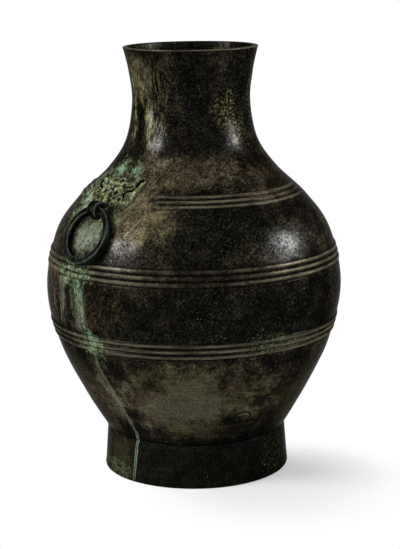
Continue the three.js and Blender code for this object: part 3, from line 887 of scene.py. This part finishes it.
def face_bars():
    """One half of the face, as chains of points in millimetres and the radii at their two ends."""
    horn = [(1.8, 25.8), (9.1, 26.7), (15.5, 26.6), *curl(22.6, 30.9, 3.3, -125, 150)]
    forehead = [(1.4, 22.7), (1.3, 26.4), *curl(4.4, 29.4, 2.6, 180, -70)]
    brow = [(3.1, 21.6), (8.1, 23.4), (12.0, 21.2), (13.2, 16.6)]
    cheek = [(25.2, 27.0), (24.4, 22.5), (24.2, 17.5), (23.0, 12.4), (19.2, 10.5), (15.4, 12.0), (16.0, 15.2)]
    nostril = [(2.6, 12.7), (5.5, 13.5), (7.5, 11.7), (5.7, 10.0)]
    eye_rim = curl(6.9, 18.3, 2.9, 0, 360)
    hatching = [[(x, 13.6), (x - 1.2, 18.4)] for x in (18.3, 20.2, 22.1)]
    bars = [(horn, 2.1, 1.5), (forehead, 1.4, 1.0), (brow, 1.4, 0.9), (cheek, 1.4, 0.9), (nostril, 1.4, 0.9)]
    return bars + [(eye_rim, 1.0, 1.0)] + [(h, 0.6, 0.6) for h in hatching]


PITS_ON_A_MASK = 150


def pits(x, y, seed):
    """Small corroded holes scattered over the mask."""
    rng = np.random.default_rng(seed)
    depth = np.zeros_like(x)
    for _ in range(PITS_ON_A_MASK):
        px, py, radius = rng.uniform(-25, 25), rng.uniform(2, 35), rng.uniform(0.35, 0.9)
        away = ((x - px) ** 2 + (y - py) ** 2) / radius**2
        depth = np.maximum(depth, rng.uniform(0.3, 1.0) * np.exp(-away))
    return depth


def hollows(x, y):
    """The deep dark places: the curls' holes, the eyes, the groove under each horn, the cheeks' hatching."""
    groove = [(22.6, 30.9), (22.9, 26.2), (21.4, 22.2), (17.0, 21.4), (14.6, 18.6), (16.6, 15.8)]
    holes = [(22.8, 30.9, 2.3), (4.4, 29.4, 1.7), (6.9, 18.3, 2.0)]
    holes += [(1.4, 21.0, 0.9), (10.4, 26.0, 1.1), (12.6, 13.2, 1.2)]
    share = np.zeros_like(x)
    for mirror in (-1, 1):
        share = np.maximum(share, bar(x * mirror, y, groove, 1.7, 0.9) / 1.2)
        for px, py, radius in holes:
            share = np.maximum(share, np.exp(-((((x * mirror - px) ** 2 + (y - py) ** 2) / radius**2) ** 2)))
        for at in (17.4, 19.2, 21.1, 23.0):
            share = np.maximum(share, bar(x * mirror, y, [(at, 13.4), (at - 1.2, 18.6)], 0.6, 0.5) * 1.6)
    return np.clip(share, 0, 1)


def blurred(grid, reach):
    """The grid's mean over a square of cells round each one."""
    width = 2 * reach + 1
    for axis in (0, 1):
        pad = [(reach + 1, reach) if a == axis else (0, 0) for a in (0, 1)]
        total = np.cumsum(np.pad(grid, pad, mode="edge"), axis=axis)
        count = total.shape[axis]
        grid = np.take(total, range(width, count), axis) - np.take(total, range(count - width), axis)
        grid = grid / width
    return grid


# The upper and lower edge of the plate's one half, as shares of the mask's half width and of its height
PLATE_TOP = [
    (0, 0.965),
    (0.12, 1),
    (0.26, 0.98),
    (0.34, 0.9),
    (0.5, 0.885),
    (0.68, 0.92),
    (0.79, 1.01),
    (0.93, 1.03),
    (1.0, 0.98),
    (1.025, 0.86),
]
PLATE_BOTTOM = [
    (0, -0.25),
    (0.2, -0.245),
    (0.25, -0.21),
    (0.27, -0.1),
    (0.285, 0.17),
    (0.33, 0.225),
    (0.4, 0.24),
    (0.6, 0.25),
    (0.8, 0.245),
    (0.93, 0.3),
    (0.985, 0.42),
    (1.015, 0.55),
    (1.025, 0.72),
]


def plate_grid(cols, rows):
    """Points all over the mask's plate: each column runs from the plate's lower edge to its upper edge."""
    fine = np.linspace(0, PLATE_TOP[-1][0], 2000)
    low = np.interp(fine, *zip(*PLATE_BOTTOM)) * MASK_HEIGHT
    high = np.interp(fine, *zip(*PLATE_TOP)) * MASK_HEIGHT
    step = np.hypot(np.gradient(fine) * MASK_HALF_WIDTH, 0.35 * np.gradient(low))
    step = step + 0.2 * np.abs(np.gradient(high))
    gone = np.cumsum(step) - step[0]
    x = np.interp(np.linspace(0, gone[-1], cols // 2 + 1), gone, fine)
    low, high = np.interp(x, fine, low), np.interp(x, fine, high)
    x = np.concatenate([-x[:0:-1], x]) * MASK_HALF_WIDTH
    low, high = (np.concatenate([line[:0:-1], line]) for line in (low, high))
    t = np.linspace(0, 1, rows)[:, None]
    return np.broadcast_to(x, (rows, len(x))).copy(), low + t * (high - low)


def edge_share(x, y):
    """0 on the plate's edge, growing to 1 a little way in."""
    sides = (x[0], y[0]), (x[-1], y[-1]), (x[:, 0], y[:, 0]), (x[:, -1], y[:, -1])
    rim = np.concatenate([np.stack(side, 1) for side in sides])
    away = np.full(x.shape, 99.0)
    for px, py in rim:
        away = np.minimum(away, (x - px) ** 2 + (y - py) ** 2)
    return smooth(0, 3.0, np.sqrt(away))


def mask(side, word):
    """The animal mask: a thin plate with rounded bars of relief, pitted and crusted."""
    x, y = plate_grid(MASK_COLUMNS, MASK_ROWS)
    relief = bar(x, y, [(0, 24.7), (0, 17.0), (0, 9.6)], 1.6, 3.4)
    for points, start, end in face_bars():
        for mirror in (-1, 1):
            relief = np.maximum(relief, bar(x * mirror, y, points, start, end))
    relief = blurred(relief, 1)
    rng = np.random.default_rng(20 + side)
    crust = blurred(rng.normal(size=x.shape), 3) * 1.3 + blurred(rng.normal(size=x.shape), 1) * 0.25
    sunken = blurred(hollows(x, y), 1)
    pitted = pits(x, y, 7 + side)
    level = MASK_PLATE + relief * 0.85 * (1 - sunken) + crust * 0.5 - pitted - sunken * 1.1
    border = edge_share(x, y)
    out = SEAT_GAP + np.maximum(level * (0.15 + 0.85 * border), 0.1 + 0.15 * border)
    raised = np.clip(0.5 + (out - blurred(out, 11)) * 0.45, 0, 1)
    front = turned_to(side, on_shoulder(x, y, out).reshape(-1, 3))
    back = turned_to(side, on_shoulder(x, y, np.full_like(x, SEAT_GAP)).reshape(-1, 3))
    rows, cols = x.shape
    count = rows * cols
    faces = grid_faces(rows, cols, close_cols=False)
    faces += [tuple(count + i for i in reversed(f)) for f in faces]
    edge = list(range(cols)) + [i * cols + cols - 1 for i in range(1, rows)]
    edge += [(rows - 1) * cols + j for j in range(cols - 2, -1, -1)]
    edge += [i * cols for i in range(rows - 2, 0, -1)]
    faces += [(a, count + a, count + b, b) for a, b in zip(edge, edge[1:] + edge[:1])]
    values = {
        "raised": np.concatenate([raised.ravel(), np.full(count, 0.5)]),
        "sunken": np.concatenate([np.maximum(sunken, pitted * 0.8).ravel(), np.zeros(count)]),
    }
    obj = new_mesh("mask_face_" + word, np.concatenate([front, back]), faces, MASK_BRONZE, values)
    dressed(obj, "vessel", "mask_" + word)


# Nose loops and ring handles

EYE_OUT = SEAT_GAP + MASK_PLATE + RING_PLAY + RING_BAR_AXIAL / 2
LOOP_MID_R = max(RING_BAR_AXIAL, RING_BAR_RADIAL) / 2 + LOOP_PLAY + LOOP_THICKNESS / 2


def on_plane(up, out):
    """Points in the plane y = 0, up the slope and out from where the shoulder meets the loop."""
    radial, tilt = normal_at(MASK_LOOP_Z)
    up, out = np.asarray(up, float), np.asarray(out, float)
    x = radius_at(MASK_LOOP_Z) - tilt * up + radial * out
    return np.stack([x, np.zeros_like(x), MASK_LOOP_Z + radial * up + tilt * out], -1)


def nose_loop(side, word):
    """A stout strap bent over the ring's bar, with both feet in the mask."""
    bend = np.linspace(0, math.pi, 29)
    up = np.concatenate([[LOOP_MID_R] * 4, LOOP_MID_R * np.cos(bend), [-LOOP_MID_R] * 4])
    feet = np.linspace(SEAT_GAP, EYE_OUT - 0.5, 4)
    out = np.concatenate([feet, EYE_OUT + LOOP_MID_R * np.sin(bend), feet[::-1]])
    swell = 1 - 0.16 * np.linspace(-1, 1, len(up)) ** 2
    section, edges = rounded_section(LOOP_THICKNESS, LOOP_WIDTH, 1.45, 7)
    sections = section[None] * np.stack([0.5 + swell / 2, swell], -1)[:, None]
    path = turned_to(side, on_plane(up, out))
    obj = swept("loop_" + word, path, sections, np.array([0, 1.0, 0]), HANDLE_BRONZE, False, edges)
    dressed(obj, "vessel", "nose_loop_" + word)


def ring(side, word):
    """A ring handle, resting where it has swung clear of the wall."""
    middle = (RING_OUTER_D - RING_BAR_RADIAL) / 2
    eye = on_plane([0], [EYE_OUT])[0]
    swing = math.radians(RING_SWING)
    turn = np.linspace(0, 2 * math.pi, RING_POINTS, endpoint=False)
    drop = middle - middle * np.cos(turn)
    x, z = eye[0] + drop * math.sin(swing), eye[2] - drop * math.cos(swing)
    path = np.stack([x, middle * np.sin(turn), z], -1)
    section, edges = rounded_section(RING_BAR_RADIAL, RING_BAR_AXIAL, 1.4, 5)
    uneven = 1 + 0.012 * waves(turn, 0, 6, 2, 9, 50, 40 + side) - 0.015
    axis = turned_to(side, np.array([math.cos(swing), 0, math.sin(swing)]))
    sections = section[None] * uneven[:, None, None]
    obj = swept("handle_" + word, turned_to(side, path), sections, axis, HANDLE_BRONZE, True, edges)
    dressed(obj, "ring_" + word, "ring_" + word)


for side, word in ((-1, "left"), (1, "right")):
    mask(side, word)
    nose_loop(side, word)
    ring(side, word)


# The casting patch's rows: share of its outline, millimetres out from the wall, and wear, which also paints
# light on the patch's rim and face
PATCH_ROWS = [
    (1, -PATCH_DEPTH, 0),
    (1, 0.0, 0.5),
    (0.985, 0.3, 0.6),
    (0.92, 0.5, 0.5),
    (0.7, 0.45, 0.35),
    (0.35, 0.5, 0.35),
    (0.03, 0.5, 0.35),
]


def casting_patch():
    """An oval plug in the lower wall, a little proud of it."""
    radial, tilt = normal_at(PATCH_Z)
    centre = np.array([radius_at(PATCH_Z), 0, PATCH_Z])
    out_dir = np.array([radial, 0, tilt])
    up_dir = np.array([-tilt, 0, radial])
    around = np.linspace(0, 2 * math.pi, PATCH_POINTS, endpoint=False)
    rows = []
    for scale, out, _ in PATCH_ROWS:
        across = np.outer(np.cos(around) * PATCH_WIDTH / 2 * scale, [0, 1, 0])
        up = np.outer(np.sin(around) * PATCH_HEIGHT / 2 * scale, up_dir)
        rows.append(centre + across + up + out * out_dir)
    angle = math.radians(PATCH_AZIMUTH - 90)
    c, s = math.cos(angle), math.sin(angle)
    verts = np.concatenate(rows) @ np.array([[c, s, 0], [-s, c, 0], [0, 0, 1]])
    faces = grid_faces(len(rows), PATCH_POINTS)
    faces.append(tuple(reversed(range(PATCH_POINTS))))
    faces.append(tuple(range(len(verts) - PATCH_POINTS, len(verts))))
    # The wear lightens the patch's rim and face: partly wear, partly painted light
    wear = np.repeat([share for _, _, share in PATCH_ROWS], PATCH_POINTS)
    obj = new_mesh("patch", verts, faces, WALL_BRONZE, {"raised": wear})
    dressed(obj, "vessel", "casting_patch")


casting_patch()


# Floor, lights and camera


def photo_direction(azimuth, elevation):
    """A unit vector from the vase, by degrees to the photograph's right and up."""
    a = math.radians(azimuth + PHOTO_TURN)
    e = math.radians(elevation)
    return Vector((math.sin(a) * math.cos(e), -math.cos(a) * math.cos(e), math.sin(e)))


LAMP_TARGET = (0, 0, 0.17)


def softbox(name, azimuth, elevation, distance, width, height, watts, in_metal=True):
    """A lamp that faces the vase's middle; one that isn't in_metal leaves no highlight."""
    target = Vector(LAMP_TARGET)
    data = bpy.data.lights.new(name, "AREA")
    data.shape = "RECTANGLE"
    data.size = width
    data.size_y = height
    data.energy = watts
    obj = bpy.data.objects.new(name, data)
    bpy.context.scene.collection.objects.link(obj)
    obj.location = target + photo_direction(azimuth, elevation) * distance
    obj.rotation_euler = (target - obj.location).to_track_quat("-Z", "Y").to_euler()
    obj.visible_glossy = in_metal


softbox("softbox_right", 83, 25, 1.1, 0.32, 0.32, 10)
softbox("strip_right", 68, 20, 1.1, 0.12, 0.22, 0.4)
softbox("softbox_left", -65, 30, 1.1, 0.34, 0.30, 7.5)
softbox("strip_left", -81, 20, 1.1, 0.14, 0.26, 1.8)
softbox("fill", -32, 48, 1.3, 0.5, 0.5, 3.5, in_metal=False)
softbox("back_lamp", -143, 38, 1.3, 0.4, 0.4, 8, in_metal=False)


def white_rays(tree, paths):
    """1 for the rays that show the white background: the camera's, and those that metal or glass sends on."""
    kinds = ("Camera", "Glossy", "Transmission")
    seen, mirrored, passed = (Value(tree, paths.outputs[f"Is {kind} Ray"]) for kind in kinds)
    return seen.most(mirrored).most(passed)


FLOOR_HALF = 1.5

# The shadow's middle: the photograph's degrees from the vase, and metres
SHADOW_AZIMUTH = 46
SHADOW_AWAY = 0.095


def floor():
    """A white floor that fades into the white background, and shows the vase's pale shadow."""
    corners = [(x * FLOOR_HALF, y * FLOOR_HALF, 0) for x, y in ((-1, -1), (1, -1), (1, 1), (-1, 1))]
    mesh = bpy.data.meshes.new("floor")
    mesh.from_pydata(corners, [], [(0, 1, 2, 3)])
    obj = bpy.data.objects.new("floor", mesh)
    bpy.context.scene.collection.objects.link(obj)
    material, place = start_material("white_floor")
    tree = material.node_tree
    shader = tree.nodes["Principled BSDF"]
    shader.inputs["Base Color"].default_value = (0.65, 0.65, 0.65, 1)
    shader.inputs["Roughness"].default_value = 0.9
    paths = tree.nodes.new("ShaderNodeLightPath")
    middle = tuple(photo_direction(SHADOW_AZIMUTH, 0) * SHADOW_AWAY)
    beside = place.node("ShaderNodeVectorMath", (place, middle), operation="SUBTRACT")
    away = beside.node("ShaderNodeVectorMath", (beside,), operation="LENGTH", out=1)
    clear = tree.nodes.new("ShaderNodeBsdfTransparent")
    share = white_rays(tree, paths) * (away.ramp(0.03, 0.125) * 0.85 + 0.15)
    white, see_through = Value(tree, shader.outputs[0]), Value(tree, clear.outputs[0])
    mix = share.node("ShaderNodeMixShader", (share, white, see_through))
    tree.links.new(mix.socket, tree.nodes["Material Output"].inputs[0])
    obj.data.materials.append(material)


def white_world():
    """White behind the vase and in its metal, and an even light all round it."""
    world = bpy.data.worlds.new("studio")
    bpy.context.scene.world = world
    world.use_nodes = True
    background = world.node_tree.nodes["Background"]
    paths = world.node_tree.nodes.new("ShaderNodeLightPath")
    white = white_rays(world.node_tree, paths)
    world.node_tree.links.new((white * 0.55 + 0.45).socket, background.inputs["Strength"])
    background.inputs["Color"].default_value = (1, 1, 1, 1)


# The camera that a fit of the rim, the foot and both sides of the outline gave: degrees down, to the
# right and of roll, metres from the vase's foot before the turn to the photograph's side, and pixels
CAMERA_PITCH = 12.198
CAMERA_YAW = 0.2296
CAMERA_ROLL = 0.8246
CAMERA_PLACE = (0, -1.2871, 0.43877)
FOCAL_LENGTH = 1580.57
PICTURE_HEIGHT = 549
SENSOR_MM = 36


def camera():
    """The fitted camera, turned to the side of the part that the photograph shows."""
    pitch, yaw, roll = (math.radians(angle) for angle in (CAMERA_PITCH, CAMERA_YAW, CAMERA_ROLL))
    turn = Matrix.Rotation(math.radians(PHOTO_TURN), 3, "Z")
    across, along = math.sin(yaw) * math.cos(pitch), math.cos(yaw) * math.cos(pitch)
    ahead = turn @ Vector((across, along, -math.sin(pitch)))
    right = turn @ Vector((math.cos(yaw), -math.sin(yaw), 0))
    up = right.cross(ahead)
    cos, sin = math.cos(roll), math.sin(roll)
    right, up = right * cos - up * sin, right * sin + up * cos
    data = bpy.data.cameras.new("camera")
    data.sensor_width = SENSOR_MM
    data.lens = FOCAL_LENGTH / PICTURE_HEIGHT * SENSOR_MM
    obj = bpy.data.objects.new("camera", data)
    bpy.context.scene.collection.objects.link(obj)
    place = turn @ Vector(CAMERA_PLACE)
    obj.matrix_world = Matrix.LocRotScale(place, Matrix((right, up, -ahead)).transposed(), None)
    bpy.context.scene.camera = obj


floor()
white_world()
camera()
bpy.context.scene.view_settings.view_transform = "Standard"
